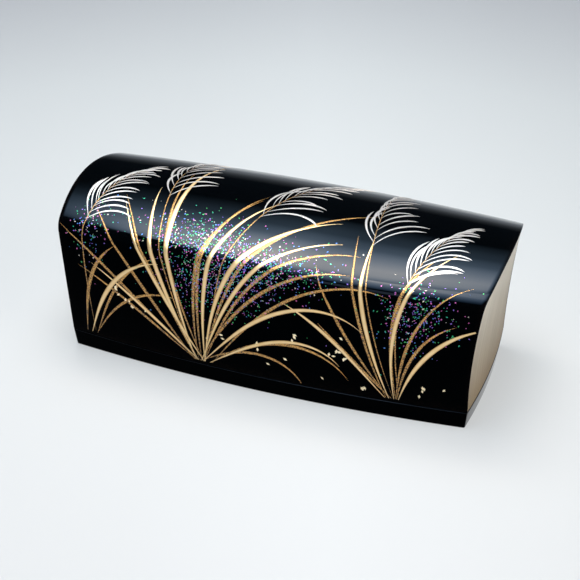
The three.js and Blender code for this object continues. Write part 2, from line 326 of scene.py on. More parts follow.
def makePlanedBoard(name, pale, deep, lineSpacing, satinLow, satinHigh, footTone="#FFFFFF"):
    material, tree, shader, place = newSurface(name)
    slow = addNode(tree, "Mapping", stretched(*planedBoard["drift"]), {"Vector": place})
    drift = addNode(tree, "TexNoise", {"Scale": 1, "Detail": 2}, {"Vector": slow})
    axes = addNode(tree, "SeparateXYZ", None, {"Vector": place}).outputs
    swaying = {"operation": "MULTIPLY_ADD", 1: planedBoard["sway"]}
    swayed = addNode(tree, "Math", swaying, {0: drift, 2: axes["Y"]})
    upright = addNode(tree, "CombineXYZ", None, {"X": swayed, "Z": axes["Z"]})
    lineSize = stretched(lineSpacing, 1, planedBoard["lineLength"])
    grainPlace = addNode(tree, "Mapping", lineSize, {"Vector": upright})
    grain = addNode(tree, "TexNoise", {"Scale": 1, "Detail": 3}, {"Vector": grainPlace})
    porePlace = addNode(tree, "Mapping", stretched(*planedBoard["pore"]), {"Vector": place})
    pores = addNode(tree, "TexNoise", {"Scale": 1, "Detail": 1}, {"Vector": porePlace})
    lines = setStops(addNode(tree, "ValToRGB", None, {"Fac": grain}), [(0.3, deep), (0.62, pale)])
    mottled = addNode(tree, "Mix", multiplied | {"Factor": planedBoard["mottling"]}, {6: lines, 7: drift})
    # Darker and warmer towards the foot, from 10 cm up down to 1.5 cm
    climb = addNode(tree, "MapRange", planedBoard["footFade"], {"Value": axes["Z"]})
    footFade = setStops(addNode(tree, "ValToRGB", None, {"Fac": climb}), [(0, footTone), (1, "#FFFFFF")])
    fadedToFoot = addNode(tree, "Mix", multiplied | {"Factor": 1}, {6: mottled, 7: footFade})
    satin = addNode(tree, "MapRange", {"To Min": satinLow, "To Max": satinHigh}, {"Value": grain})
    ridges = addNode(tree, "Bump", {"Distance": planedBoard["poreDepth"]}, {"Height": pores})
    links = {"Base Color": fadedToFoot, "Roughness": satin, "Normal": ridges}
    fitNode(tree, shader, {"IOR": 1.5, "Specular IOR Level": 0.4}, links)
    return material


# Metal powder sprinkled on wet lacquer and burnished: a soft, slightly grainy metal. Where the
# powder is thin the black shows between the grains, drawn 0.3 to 0.6 mm wide so that they show.
sprinkledMetal = {
    "patch": 9,
    "covered": {"From Min": -0.06, "From Max": 0.06},
    "rim": {"From Min": 0.45, "From Max": 0.95, "To Max": 0.85},
    "ground": "#0A0706",
    "satin": {"To Min": 0.3, "To Max": 0.5},
    "grainDepth": 0.000015,
}


def makeSprinkledMetal(name, bright, dark, outline, thinAt, thickAt, metallic, grainWidth=0.3):
    material, tree, shader, place = newSurface(name)
    grain = addNode(tree, "TexNoise", {"Scale": perMetre(grainWidth), "Detail": 1}, {"Vector": place})
    patchScale = perMetre(sprinkledMetal["patch"])
    patch = addNode(tree, "TexNoise", {"Scale": patchScale, "Detail": 2}, {"Vector": place})
    reach = addNode(tree, "Attribute", {"attribute_name": "reach"}).outputs["Fac"]
    cover = addNode(tree, "MapRange", {"To Min": thinAt, "To Max": thickAt}, {"Value": reach})
    spare = addNode(tree, "Math", {"operation": "SUBTRACT"}, {0: cover, 1: grain})
    covered = addNode(tree, "MapRange", sprinkledMetal["covered"], {"Value": spare})
    tones = {"data_type": "RGBA", 6: srgb(dark), 7: srgb(bright)}
    metal = addNode(tree, "Mix", tones, {"Factor": patch})
    rim = addNode(tree, "Attribute", {"attribute_name": "rim"}).outputs["Fac"]
    rimShare = addNode(tree, "MapRange", sprinkledMetal["rim"], {"Value": rim})
    outlining = {"data_type": "RGBA", 7: srgb(outline)}
    outlined = addNode(tree, "Mix", outlining, {"Factor": rimShare, 6: metal})
    ground = {"data_type": "RGBA", 6: srgb(sprinkledMetal["ground"])}
    seen = addNode(tree, "Mix", ground, {"Factor": covered, 7: outlined})
    share = addNode(tree, "Math", {"operation": "MULTIPLY", 1: metallic}, {0: covered})
    rough = addNode(tree, "MapRange", sprinkledMetal["satin"], {"Value": patch})
    grit = addNode(tree, "Bump", {"Distance": sprinkledMetal["grainDepth"]}, {"Height": grain})
    links = {"Base Color": seen, "Metallic": share, "Roughness": rough, "Normal": grit}
    fitNode(tree, shader, None, links)
    return material


# Crushed mother-of-pearl: each chip holds one cool or rosy interference colour under a clear skin
crushedShell = {
    "tints": [
        (0, "#3CCBA4"), (0.18, "#4CC470"), (0.36, "#E070BE"),
        (0.58, "#A078EE"), (0.76, "#5A94EE"), (0.92, "#EFE6D8"),
    ],
    "ripple": 0.6,
    "rippleShare": 0.5,
    "skin": {"Specular IOR Level": 0.2, "Coat Weight": 0.15, "Coat Roughness": 0.05},
}


def makeCrushedShell():
    material, tree, shader, place = newSurface("crushedPearlShell")
    tint = addNode(tree, "Attribute", {"attribute_name": "tint"}).outputs["Fac"]
    colours = setStops(addNode(tree, "ValToRGB", None, {"Fac": tint}), crushedShell["tints"], "CONSTANT")
    rippleScale = perMetre(crushedShell["ripple"])
    ripple = addNode(tree, "TexNoise", {"Scale": rippleScale, "Detail": 1}, {"Vector": place})
    rippled = {6: colours, 7: ripple.outputs["Color"]}
    shimmer = addNode(tree, "Mix", multiplied | {"Factor": crushedShell["rippleShare"]}, rippled)
    pearl = {"Metallic": 0.25, "Roughness": 0.35} | crushedShell["skin"]
    fitNode(tree, shader, pearl, {"Base Color": shimmer})
    return material


finishes = {
    "burnished": makePolishedUrushi("burnishedBlackUrushi", 0.5),
    # Painted shade: the same lacquer with its mirror nearly off, for faces that would mirror the pale floor
    "reflectionDimmed": makePolishedUrushi("reflectionDimmedBlackUrushi", 0.005),
    "brushed": makeBrushedUrushi(),
    "endBoard": makePlanedBoard("waxedPaleBoard", "#E2DACA", "#CCC2AE", 1.3, 0.42, 0.56, "#AE956C"),
    "key": makePlanedBoard("sawnKeyWood", "#B08A5C", "#8A6740", 0.9, 0.6, 0.8),
    "gold": makeSprinkledMetal("burnishedGoldPowder", "#F6DCAC", "#E2BC7C", "#A06C2E", 0.62, 1.0, 0.7),
    "brownGold": makeSprinkledMetal(
        "thinBrownGoldPowder", "#E6B468", "#C08A46", "#8E5C26", 0.49, 0.57, 0.6, grainWidth=0.6
    ),
    "cutGold": makeSprinkledMetal("cutGoldLeaf", "#FFF2D2", "#FBE2AE", "#C89A56", 0.8, 1.0, 0.35),
    "silver": makeSprinkledMetal("burnishedSilverPowder", "#DDDAD8", "#BCB8B4", "#85796C", 0.62, 1.0, 0.6),
    "shell": makeCrushedShell(),
}
print("finishes made")


# The cover: one lacquered shell over the wall, shoulder and crown boards
shell = {
    "skin": 0.18,  # how far the lacquer lies inside the CAD face, which leaves room for the design
    "thickness": 5.5,
    "foot": 14.1,
    "rim": 1.1,
    "boardSet": 0.2,
    "boardThickness": 5.5,
    "fit": 0.3,
    "edgeRound": 0.35,
    "lipRound": 0.2,
    "footRound": 0.5,
    "wearReach": 1.4,
    "fullMirrorAbove": 24,  # degrees: lacquer that faces further up keeps its full mirror, the rest gets the copy with its mirror nearly off, a painted shade
    "roundSteps": 4,
    "lipSteps": 2,
    "lengthSteps": 96,
    "wallSteps": 34,
    "shoulderSteps": 28,
    "crownSteps": 34,
}


# Once round the cover's thickness lengthwise: distance along and depth below the face
def shellLoop():
    end, skin, edge, lip = coffer["halfLength"], shell["skin"], shell["edgeRound"], shell["lipRound"]
    rebate = end - shell["boardSet"] - shell["boardThickness"] - shell["fit"]
    outer = [(x, skin) for x in np.linspace(edge - end, end - edge, shell["lengthSteps"] + 1)]
    turns = quarterTurn(shell["roundSteps"])[1:]
    rightEnd = [(end - edge + edge * math.sin(t), skin + edge - edge * math.cos(t)) for t in turns]
    lipX, lipDepth, turns = end - lip, shell["rim"] - lip, quarterTurn(shell["lipSteps"])
    rightEnd += [(lipX + lip * math.cos(t), lipDepth + lip * math.sin(t)) for t in turns]
    rightEnd += [(rebate, shell["rim"]), (rebate, shell["thickness"])]
    inner = [(x, shell["thickness"]) for x in np.linspace(rebate, -rebate, shell["lengthSteps"] + 1)]
    leftEnd = [(-x, depth) for x, depth in reversed(rightEnd)]
    return np.array(outer + rightEnd + inner[1:-1] + leftEnd), len(rightEnd)


# Shares of the way over the section, and how far the outer edge is rounded back there
def shellRows():
    spans = zip(girthKnots, girthKnots[1:], (shell[arc + "Steps"] for arc in ("wall", "shoulder", "crown")))
    half = np.concatenate([np.linspace(low, high, steps + 1)[:-1] for low, high, steps in spans])
    rounding = shell["footRound"]
    foot = wallAngleAt(shell["foot"], shell["skin"])
    feet = [
        (foot + rounding * (1 - math.cos(t)) / arcs[0]["radius"], rounding * (1 - math.sin(t)))
        for t in quarterTurn(shell["roundSteps"])
    ]
    top = [(float(angleAtGirth(girth)), 0.0) for girth in half if girth > 2 * rounding]
    front = feet + top
    back = [(math.pi - angle, extra) for angle, extra in reversed(front)]
    rows = front + [(math.pi / 2, 0.0)] + back
    angles = np.array([angle for angle, extra in rows])
    return (angles - foot) / (math.pi - 2 * foot), np.array([extra for angle, extra in rows])


def buildCoverShell():
    loop, endCount = shellLoop()
    shares, extras = shellRows()
    along, depth = loop[:, 0][None, :], loop[:, 1][None, :]
    outer = depth < shell["skin"] + shell["edgeRound"] + hair
    footAngle = wallAngleAt(shell["foot"], depth)
    angle = footAngle + shares[:, None] * (math.pi - 2 * footAngle)
    points = coverPoint(along + 0 * angle, angle, depth + extras[:, None] * outer)
    toEnd = coffer["halfLength"] - np.abs(along) + 0 * angle
    toFoot = np.minimum(shares, 1 - shares)[:, None] * 2 * crownGirth + 0 * along
    nearest = np.minimum(toEnd, toFoot)
    wear = np.exp(-nearest / shell["wearReach"]) * (depth < shell["rim"] + hair)
    rowCount, columnCount = points.shape[:2]
    faces = gridFaces(rowCount, columnCount, columnsClose=True)
    steps = shell["lengthSteps"]
    innerLast = 2 * steps + endCount
    for first in (0, (rowCount - 1) * columnCount):
        for i in range(steps):
            faces.append([first + i, first + i + 1, first + innerLast - i - 1, first + innerLast - i])
        faces.append([first + steps + i for i in range(endCount + 1)])
        faces.append([first] + [first + innerLast + i for i in range(endCount)])
    stands = [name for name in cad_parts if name.startswith("lid_") and not name.startswith("lid_end")]
    points, values = points.reshape(-1, 3), {"wear": wear.reshape(-1)}
    obj = makeObject("coverShell", points, faces, finishes["burnished"], values, stands)
    obj.data.materials.append(finishes["reflectionDimmed"])
    # The faces lie in rows up the front and down the back, and then come those under the foot
    lower, upper = angle[:-1, 0], math.pi - angle[1:, 0]
    # The lower faces and those under the foot get the copy with its mirror nearly off: painted shade where
    # they would mirror the floor
    reflectionDimmed = np.minimum(lower, upper) < math.radians(shell["fullMirrorAbove"])
    footCount = len(faces) - len(reflectionDimmed) * columnCount
    slots = np.concatenate([np.repeat(reflectionDimmed, columnCount), np.ones(footCount)])
    obj.data.polygons.foreach_set("material_index", slots.astype(np.int32))


buildCoverShell()
print("cover shell built")

# The end boards: thin, bowed two ways, seated inside the shell's rim
endBoard = {
    "edgeRound": 0.4,
    "play": 0.02,
    "rings": 26,
    "roundSteps": 5,
    "sideSteps": 110,
    "footSteps": 40,
    "ringCentre": 62,
    "hub": 0.02,
}


def boardOutline(inset):
    depth = shell["rim"] + shell["fit"] + inset
    foot = wallAngleAt(shell["foot"] + inset, depth)
    angles = np.linspace(foot, math.pi - foot, endBoard["sideSteps"])
    y, z = sectionPoint(angles, depth)
    footY = np.linspace(y[-1], y[0], endBoard["footSteps"] + 2)[1:-1]
    return np.stack([np.concatenate([y, footY]), np.concatenate([z, 0 * footY + z[0]])], axis=-1)


def buildEndBoard(side):
    play = endBoard["play"]
    face = coffer["halfLength"] - shell["boardSet"] - play
    back = face - shell["boardThickness"] + 2 * play
    edge = endBoard["edgeRound"]
    centre = np.array([0, endBoard["ringCentre"]])
    hub, outline = endBoard["hub"], boardOutline(0)
    rings = [(back, outline * share + centre * (1 - share)) for share in (hub, 0.5)]
    rings.append((back, outline))
    for turn in quarterTurn(endBoard["roundSteps"]):
        rings.append((face - edge + edge * math.sin(turn), boardOutline(edge * (1 - math.cos(turn)))))
    inner = boardOutline(edge)
    for share in np.linspace(1, hub, endBoard["rings"])[1:]:
        rings.append((face, inner * share + centre * (1 - share)))
    y, z = np.moveaxis([ring for x, ring in rings], 2, 0)
    x = np.array([[x] for x, ring in rings]) + 0 * y
    points = swell(x * side, y, z, z)
    rowCount, columnCount = y.shape
    faces = gridFaces(rowCount, columnCount, columnsClose=True)
    faces.append(list(range(columnCount)))
    faces.append([(rowCount - 1) * columnCount + i for i in range(columnCount)])
    name, points = "Right" if side > 0 else "Left", points.reshape(-1, 3)
    stands = ["lid_end_" + name.lower()]
    makeObject("endBoard" + name, points, faces, finishes["endBoard"], None, stands)


for side in (-1, 1):
    buildEndBoard(side)
print("end boards built")

# The base band and the inner body: rings swept round the bowed plan
baseBand = {
    "frontTaper": 2.1,
    "endTaper": 1.4,
    "footRound": 1.4,
    "seamRound": 0.5,
    "frontLedge": 6.0,
    "endLedge": 6.2,
    "cornerRound": 0.7,
    "faceSteps": 8,
    "footSteps": 7,
    "seamSteps": 4,
    "edgeWear": 0.25,
}
innerBody = {
    "halfLength": 133.5,
    "halfDepth": 47.9,
    "wall": 4,
    "foot": 2.9,
    "top": 78,
    "edgeRound": 0.9,
    "cornerRound": 0.5,
    "edgeSteps": 5,
    "wallSteps": 5,
}
planSteps = {"long": 72, "short": 36, "corner": 5}


# Once round the plan: which corner centre each point leans on, and its direction from there
def planLoop():
    along, loop = np.array((1, 0)), []
    for side in ("long", "short", "long", "short"):
        across = np.array((along[1], -along[0]))
        for travel in np.linspace(-1, 1, planSteps[side] + 1):
            loop.append((along * travel + across, across))
        for turn in quarterTurn(planSteps["corner"])[1:-1]:
            loop.append((along + across, along * math.sin(turn) + across * math.cos(turn)))
        along = -across
    return np.array([centre for centre, out in loop]), np.array([out for centre, out in loop])


def planRing(halfLength, halfDepth, cornerRound, height):
    centre, out = planLoop()
    x = centre[:, 0] * (halfLength - cornerRound) + out[:, 0] * cornerRound
    y = centre[:, 1] * (halfDepth - cornerRound) + out[:, 1] * cornerRound
    return swell(x, y, height + 0 * x, coffer["seamHeight"])


# A profile is half length, half depth, height and wear, once round the ring's thickness
def buildRing(name, profile, cornerRound, material, stands):
    points = np.array([planRing(x, y, cornerRound, z) for x, y, z, wear in profile])
    faces = gridFaces(*points.shape[:2], rowsClose=True, columnsClose=True)
    wear = np.repeat([wear for x, y, z, wear in profile], points.shape[1])
    return makeObject(name, points.reshape(-1, 3), faces, material, {"wear": wear}, stands, "base")


def bandProfile():
    def faceAt(height, rounding, turn):
        lean = 1 - height / coffer["seamHeight"]
        x = coffer["halfLength"] - baseBand["endTaper"] * lean - rounding
        y = coffer["halfDepth"] - baseBand["frontTaper"] * lean - rounding
        return x, y, height, baseBand["edgeWear"] * math.sin(2 * turn)  # worn most half-way round

    foot, seam = baseBand["footRound"], baseBand["seamRound"]
    top = coffer["seamHeight"]
    footTurns, seamTurns = quarterTurn(baseBand["footSteps"]), quarterTurn(baseBand["seamSteps"])
    profile = [faceAt(foot * (1 - math.cos(t)), foot * (1 - math.sin(t)), t) for t in footTurns]
    profile += [faceAt(z, 0, 0) for z in np.linspace(foot, top - seam, baseBand["faceSteps"])[1:-1]]
    profile += [faceAt(top - seam + seam * math.sin(t), seam * (1 - math.cos(t)), t) for t in seamTurns]
    innerX = coffer["halfLength"] - baseBand["endLedge"]
    innerY = coffer["halfDepth"] - baseBand["frontLedge"]
    return profile + [(innerX, innerY, top, 0), (innerX, innerY, 0, 0)]


# The band's long sides get the lacquer's copy with its mirror nearly off, a painted shade. Its short sides
# keep the full mirror, and so does the rounded seam edge, which catches a fine line of light.
def buildBaseBand():
    profile = bandProfile()
    stands = [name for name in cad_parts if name.startswith("base_band_")]
    corner = baseBand["cornerRound"]
    band = buildRing("baseBand", profile, corner, finishes["reflectionDimmed"], stands)
    band.data.materials.append(finishes["burnished"])
    # A face lies between one height of the profile and the next
    heights = np.array([z for x, y, z, wear in profile])
    lowest = np.minimum(heights, np.roll(heights, -1))
    seamEdge = lowest > coffer["seamHeight"] - baseBand["seamRound"] - hair
    out = np.abs(planLoop()[1])
    shortSide = out[:, 0] > out[:, 1]
    slots = (seamEdge[:, None] | shortSide[None, :]).astype(np.int32)
    band.data.polygons.foreach_set("material_index", slots.reshape(-1))


buildBaseBand()


def bodyProfile():
    edge, wall, top = innerBody["edgeRound"], innerBody["wall"], innerBody["top"]
    outerX, outerY = innerBody["halfLength"], innerBody["halfDepth"]
    heights = np.linspace(innerBody["foot"], top - edge, innerBody["wallSteps"] + 1)
    turns = quarterTurn(innerBody["edgeSteps"])
    rim = [(edge * (1 - math.cos(t)), top - edge + edge * math.sin(t)) for t in turns]
    outside = [(0, z) for z in heights[:-1]] + rim
    inside = [(wall - back, z) for back, z in reversed(outside)]
    return [(outerX - back, outerY - back, z, 0) for back, z in outside + inside]


stands = [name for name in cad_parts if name.startswith("body_wall_")]
buildRing("innerBody", bodyProfile(), innerBody["cornerRound"], finishes["brushed"], stands)
for name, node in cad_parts.items():
    if name == "bottom_board":
        node.data.materials[0] = finishes["brushed"]
    if name.startswith("band_key_"):
        node.data.materials[0] = finishes["key"]
print("base built")

# The design: autumn grasses in a wind from the left, drawn on the flat (distance along the cover,
# distance up from the front seam) and laid over the vault as low raised strokes
chance = np.random.default_rng(31)
strokeForm = {
    "sink": 0.06,
    "thinLift": 0.4,  # a hairline still stands at this share of the full height
    "rootShare": 0.16,
    "rise": 1.3,
    "tipShare": 0.05,
    "fewestPoints": 5,
    "across": [(-0.5, 0.0), (-0.4, 0.85), (0.0, 1.0), (0.4, 0.85), (0.5, 0.0)],
    "step": 0.7,
    "coarser": 4,  # only every fourth step is kept where the cover is nearly flat
    "tightMargin": 3.0,
    "endLimit": 138.9,
    "footLimit": 2.0,
}


# A line from start, heading in degrees from straight up, that bends more the later it gets
def drawnLine(start, heading, length, bend, late):
    count = int(length / strokeForm["step"])
    share = np.linspace(0, 1, count)
    turn = np.radians(heading + bend * share**late)
    step = length / (count - 1)
    x = start[0] + np.concatenate([[0], np.cumsum(np.sin(turn[:-1]))]) * step
    girth = start[1] + np.concatenate([[0], np.cumsum(np.cos(turn[:-1]))]) * step
    inside = (np.abs(x) < strokeForm["endLimit"]) & (girth > strokeForm["footLimit"])
    last = count if inside.all() else int(np.argmin(inside))
    raised = np.minimum(girth, 2 * crownGirth - girth)
    margin = strokeForm["tightMargin"]
    tight = (raised > girthKnots[1] - margin) & (raised < girthKnots[2] + margin)
    number = np.arange(count)
    kept = tight | (number % strokeForm["coarser"] == 0) | (number == last - 1)
    kept &= number < last
    return np.stack([x, girth], axis=-1)[kept], share[kept]


def bladeWidth(share, widest, fullest, tipForm):
    root = strokeForm["rootShare"]
    opening = np.sin(np.clip(share / fullest, 0, 1) * math.pi / 2)
    rising = root + (1 - root) * opening ** strokeForm["rise"]
    falling = 1 - np.clip((share - fullest) / (1 - fullest), 0, 1) ** tipForm
    return widest * np.where(share < fullest, rising, np.maximum(falling, strokeForm["tipShare"]))


def addStroke(strokes, start, heading, length, bend, late, widest, fullest, tipForm):
    line, share = drawnLine(start, heading, length, bend, late)
    if len(line) >= strokeForm["fewestPoints"]:
        strokes.append((line, share, bladeWidth(share, widest, fullest, tipForm)))
    return line


def onCover(x, girth, lift):
    return coverPoint(x, angleAtGirth(girth), shell["skin"] - lift)


# Each layer of strokes stands a little higher than the one it crosses
def buildStrokes(name, strokes, finish, crests):
    points, faces, reach, rim, count = [], [], [], [], 0
    across = np.array(strokeForm["across"])
    for (line, share, width), crest in zip(strokes, np.linspace(*crests, len(strokes))):
        forward = np.gradient(line, axis=0)
        forward /= np.linalg.norm(forward, axis=1, keepdims=True)
        left = np.stack([-forward[:, 1], forward[:, 0]], axis=-1)
        offset = line[:, None, :] + left[:, None, :] * (across[:, 0][None, :] * width[:, None])[:, :, None]
        height = crest * np.minimum(1, strokeForm["thinLift"] + width)[:, None]
        lift = across[:, 1][None, :] * (height + strokeForm["sink"]) - strokeForm["sink"]
        points.append(onCover(offset[..., 0], offset[..., 1], lift).reshape(-1, 3))
        rows, columns = offset.shape[:2]
        faces += [[count + i for i in face] for face in gridFaces(rows, columns, columnsClose=True)]
        faces.append([count + i for i in range(columns)])
        faces.append([count + (rows - 1) * columns + i for i in range(columns)])
        reach.append(np.repeat(share, columns))
        rim.append(np.tile(np.abs(across[:, 0]) * 2, rows))
        count += rows * columns
    points, values = np.concatenate(points), {"reach": np.concatenate(reach), "rim": np.concatenate(rim)}
    makeObject(name, points, faces, finishes[finish], values)


# Tufts of blades. Fan and bow are at the tuft's left side and at its right side.
tufts = [
    {"root": (-40, 3), "gold": 9, "brown": 13, "fan": (-56, 56), "bow": (-34, 96), "reach": (72, 186)},
    {"root": (92, 3), "gold": 4, "brown": 6, "fan": (-50, 18), "bow": (-30, 64), "reach": (56, 132)},
    {"root": (-124, 3), "gold": 1, "brown": 3, "fan": (2, 34), "bow": (24, 84), "reach": (62, 104)},
]
# Blades are longest in the middle of the fan; ranges are drawn from anew for each blade
blade = {
    "gold": 3.5,
    "brown": 2.8,
    "slimming": (0.75, 1.05),
    "fullest": (0.42, 0.6),
    "tip": 1.8,
    "late": (1.6, 2.4),
    "rootWidth": 9,
    "rootSpread": 2.6,
    "arch": (0.15, 0.85),
    "shortening": (0.72, 1.0),
    "fanStray": (-4, 4),
    "bowStray": (-12, 22),
    "placeStray": (0.25, 0.75),
    "leastFullness": 0.3,
}
goldBlades, brownBlades = [], []
for tuft in tufts:
    for kind, strokes in (("gold", goldBlades), ("brown", brownBlades)):
        for i in range(tuft[kind]):
            place = (i + chance.uniform(*blade["placeStray"])) / tuft[kind]
            fan, bow = np.interp(place, (0, 1), tuft["fan"]), np.interp(place, (0, 1), tuft["bow"])
            arch = math.sin(math.pi * np.interp(place, (0, 1), blade["arch"]))
            fullness = arch * chance.uniform(*blade["shortening"])
            aside = (place - 0.5) * blade["rootWidth"] + chance.normal(0, blade["rootSpread"])
            addStroke(
                strokes,
                (tuft["root"][0] + aside, tuft["root"][1]),
                fan + chance.uniform(*blade["fanStray"]),
                np.interp(fullness, (blade["leastFullness"], 1), tuft["reach"]),
                bow + chance.uniform(*blade["bowStray"]),
                chance.uniform(*blade["late"]),
                blade[kind] * chance.uniform(*blade["slimming"]),
                chance.uniform(*blade["fullest"]),
                blade["tip"],
            )

# Flowering stems: a fine stalk whose last stretch carries thin spikelets that all nod downwind
plumes = [
    {"root": (-121, 5), "heading": -3, "length": 152, "bend": 34, "spikelets": 25},
    {"root": (-45, 6), "heading": -17, "length": 196, "bend": 26, "spikelets": 23},
    {"root": (-36, 6), "heading": 8, "length": 200, "bend": 34, "spikelets": 25},
    {"root": (92, 4), "heading": -18, "length": 192, "bend": 24, "spikelets": 23},
    {"root": (96, 4), "heading": -7, "length": 146, "bend": 40, "spikelets": 23},
]
stem = {"late": 2.2, "widest": 0.9, "fullest": 0.3, "tipForm": 1.4}
spikelet = {
    "from": 0.68,
    "length": (36, 15),
    "stretch": (0.8, 1.15),
    "late": 1.4,
    "width": 1.7,
    "slimming": (0.75, 1.1),
    "spread": (34, 8),
    "nod": (46, 92),
    "fullest": (0.6, 0.78),
    "tip": 2.6,
}
silverStrokes, stalks = [], []
for plume in plumes:
    stalk = addStroke(stalks, plume["root"], plume["heading"], plume["length"], plume["bend"], **stem)
    for i in range(plume["spikelets"]):
        place = i / (plume["spikelets"] - 1)
        at = int((spikelet["from"] + (1 - spikelet["from"]) * place) * (len(stalk) - 1))
        ahead = stalk[min(at + 1, len(stalk) - 1)] - stalk[max(at - 1, 0)]
        spread = np.interp(place, (0, 1), spikelet["spread"]) * (-1 if i % 2 else 1)
        addStroke(
            silverStrokes,
            stalk[at],
            math.degrees(math.atan2(ahead[0], ahead[1])) + spread,
            np.interp(place, (0, 1), spikelet["length"]) * chance.uniform(*spikelet["stretch"]),
            chance.uniform(*spikelet["nod"]),
            spikelet["late"],
            spikelet["width"] * chance.uniform(*spikelet["slimming"]),
            chance.uniform(*spikelet["fullest"]),
            spikelet["tip"],
        )
buildStrokes("brownGoldBlades", brownBlades, "brownGold", (0.03, 0.06))
buildStrokes("stalks", stalks, "brownGold", (0.07, 0.075))
buildStrokes("goldBlades", goldBlades, "gold", (0.085, 0.115))
buildStrokes("silverSpikelets", silverStrokes, "silver", (0.12, 0.155))
print("grasses drawn:", len(goldBlades + brownBlades + stalks + silverStrokes), "strokes")

# Chips: crushed shell drifting in clouds through the grass, and small cut-gold lozenges that lie
# one to three together
chipArea = {"sideLimit": 137, "seamGap": 6}
drift = {
    "size": (0.3, 0.74),
    "narrowness": 0.7,
    "ragged": (0.7, 1.15),
    "thickness": 0.05,
    "clouds": [
        {"centre": (-24, 72), "spread": (21, 14), "chips": 1050},
        {"centre": (-46, 96), "spread": (20, 10), "chips": 560},
        {"centre": (10, 86), "spread": (20, 9), "chips": 420},
        {"centre": (100, 70), "spread": (13, 13), "chips": 420},
        {"centre": (-117, 88), "spread": (7, 14), "chips": 170},
    ],
}
lozenges = {
    "size": (1.2, 1.8),
    "narrowness": 0.55,
    "thickness": 0.07,
    "clusters": 21,
    "along": (-104, 128),
    "up": (9, 46),
    "together": (1, 4),
    "gather": 1.7,
}


# Four-cornered chips. Ragged ones have uneven corners, and a tint of their own.
def buildChips(name, centres, form, finish):
    count, ragged, tints = len(centres), 1, None
    sizes, turns = chance.uniform(*form["size"], count), chance.uniform(0, math.pi, count)
    if "ragged" in form:
        tints = chance.uniform(0, 1, count)
        ragged = chance.uniform(*form["ragged"], (count, 4, 1))
    corner = np.array([(1, 0), (0, 1), (-1, 0), (0, -1)])
    flat = corner[None] * sizes[:, None, None] * ragged * np.array([1, form["narrowness"]])
    cosines, sines = np.cos(turns)[:, None], np.sin(turns)[:, None]
    x = centres[:, 0][:, None] + flat[..., 0] * cosines - flat[..., 1] * sines
    girth = centres[:, 1][:, None] + flat[..., 0] * sines + flat[..., 1] * cosines
    lift = form["thickness"] + 0 * x
    top, bottom = onCover(x, girth, lift), onCover(x, girth, -lift)
    points = np.concatenate([top, bottom], axis=1).reshape(-1, 3)
    around = [[i, (i + 1) % 4, 4 + (i + 1) % 4, 4 + i] for i in range(4)]
    block = [[0, 1, 2, 3], [7, 6, 5, 4]] + around
    faces = [[chip * 8 + i for i in face] for chip in range(count) for face in block]
    attributes = {"reach": np.ones(len(points))} if tints is None else {"tint": np.repeat(tints, 8)}
    makeObject(name, points, faces, finishes[finish], attributes)


def withinCover(places):
    x, girth, gap = places[:, 0], places[:, 1], chipArea["seamGap"]
    return places[(np.abs(x) < chipArea["sideLimit"]) & (girth > gap) & (girth < 2 * crownGirth - gap)]


clouds = [chance.normal(form["centre"], form["spread"], (form["chips"], 2)) for form in drift["clouds"]]
chipPlaces = withinCover(np.concatenate(clouds))
buildChips("shellDust", chipPlaces, drift, "shell")
clusterX = chance.uniform(*lozenges["along"], lozenges["clusters"])
clusterGirth = chance.uniform(*lozenges["up"], lozenges["clusters"])
together = chance.integers(*lozenges["together"], lozenges["clusters"])
gathered = np.repeat(np.stack([clusterX, clusterGirth], axis=-1), together, axis=0)
fleckPlaces = withinCover(gathered + chance.normal(0, lozenges["gather"], gathered.shape))
buildChips("goldLozenges", fleckPlaces, lozenges, "cutGold")
print("dust and lozenges laid:", len(chipPlaces), "chips")


# Studio: a pale round sweep, graded softboxes overhead, panels in front and a fill at the right.
# Its lengths are metres.
sweep = {
    "hub": 0.02,
    "floorRadius": 2.3,
    "wallRadius": 2.75,
    "wallHeight": 0.6,
    "floorDrop": 0.0001,  # keeps the floor off the underside's own plane
    "floorRings": 24,
    "wallRings": 10,
    "around": 96,
    "glow": 0.54,
    "albedo": 0.515,
    "viewTurn": 19.3,
    # Painted fall-off of light: greyer far away, then a little to the left and right, and dusky up the wall
    "shades": {
        "away": {
            "range": {"From Min": -0.5, "From Max": 1.1},
            "stops": [
                (0, "#FCFDFE"), (0.3, "#F7FAFB"), (0.45, "#EFF4F6"),
                (0.62, "#E8EEF1"), (0.8, "#D7DCE2"), (1, "#C3CBD4"),
            ],
        },
        "aside": {
            "range": {"From Min": -0.24, "From Max": 0.24},
            "stops": [(0, "#F6F6F6"), (0.3, "#F9F9F9"), (0.55, "#FFFFFF"), (1, "#F9F9F9")],
        },
        "up": {
            "range": {"From Min": 0, "From Max": 0.6},
            "stops": [(0, "#FFFFFF"), (0.25, "#CBCBCB"), (0.5, "#989A9C"), (1, "#303438")],
        },
    },
}


def addStageObject(name, points, faces):
    mesh = bpy.data.meshes.new(name)
    mesh.from_pydata(points, [], faces)
    obj = bpy.data.objects.new(name, mesh)
    bpy.context.scene.collection.objects.link(obj)
    return obj
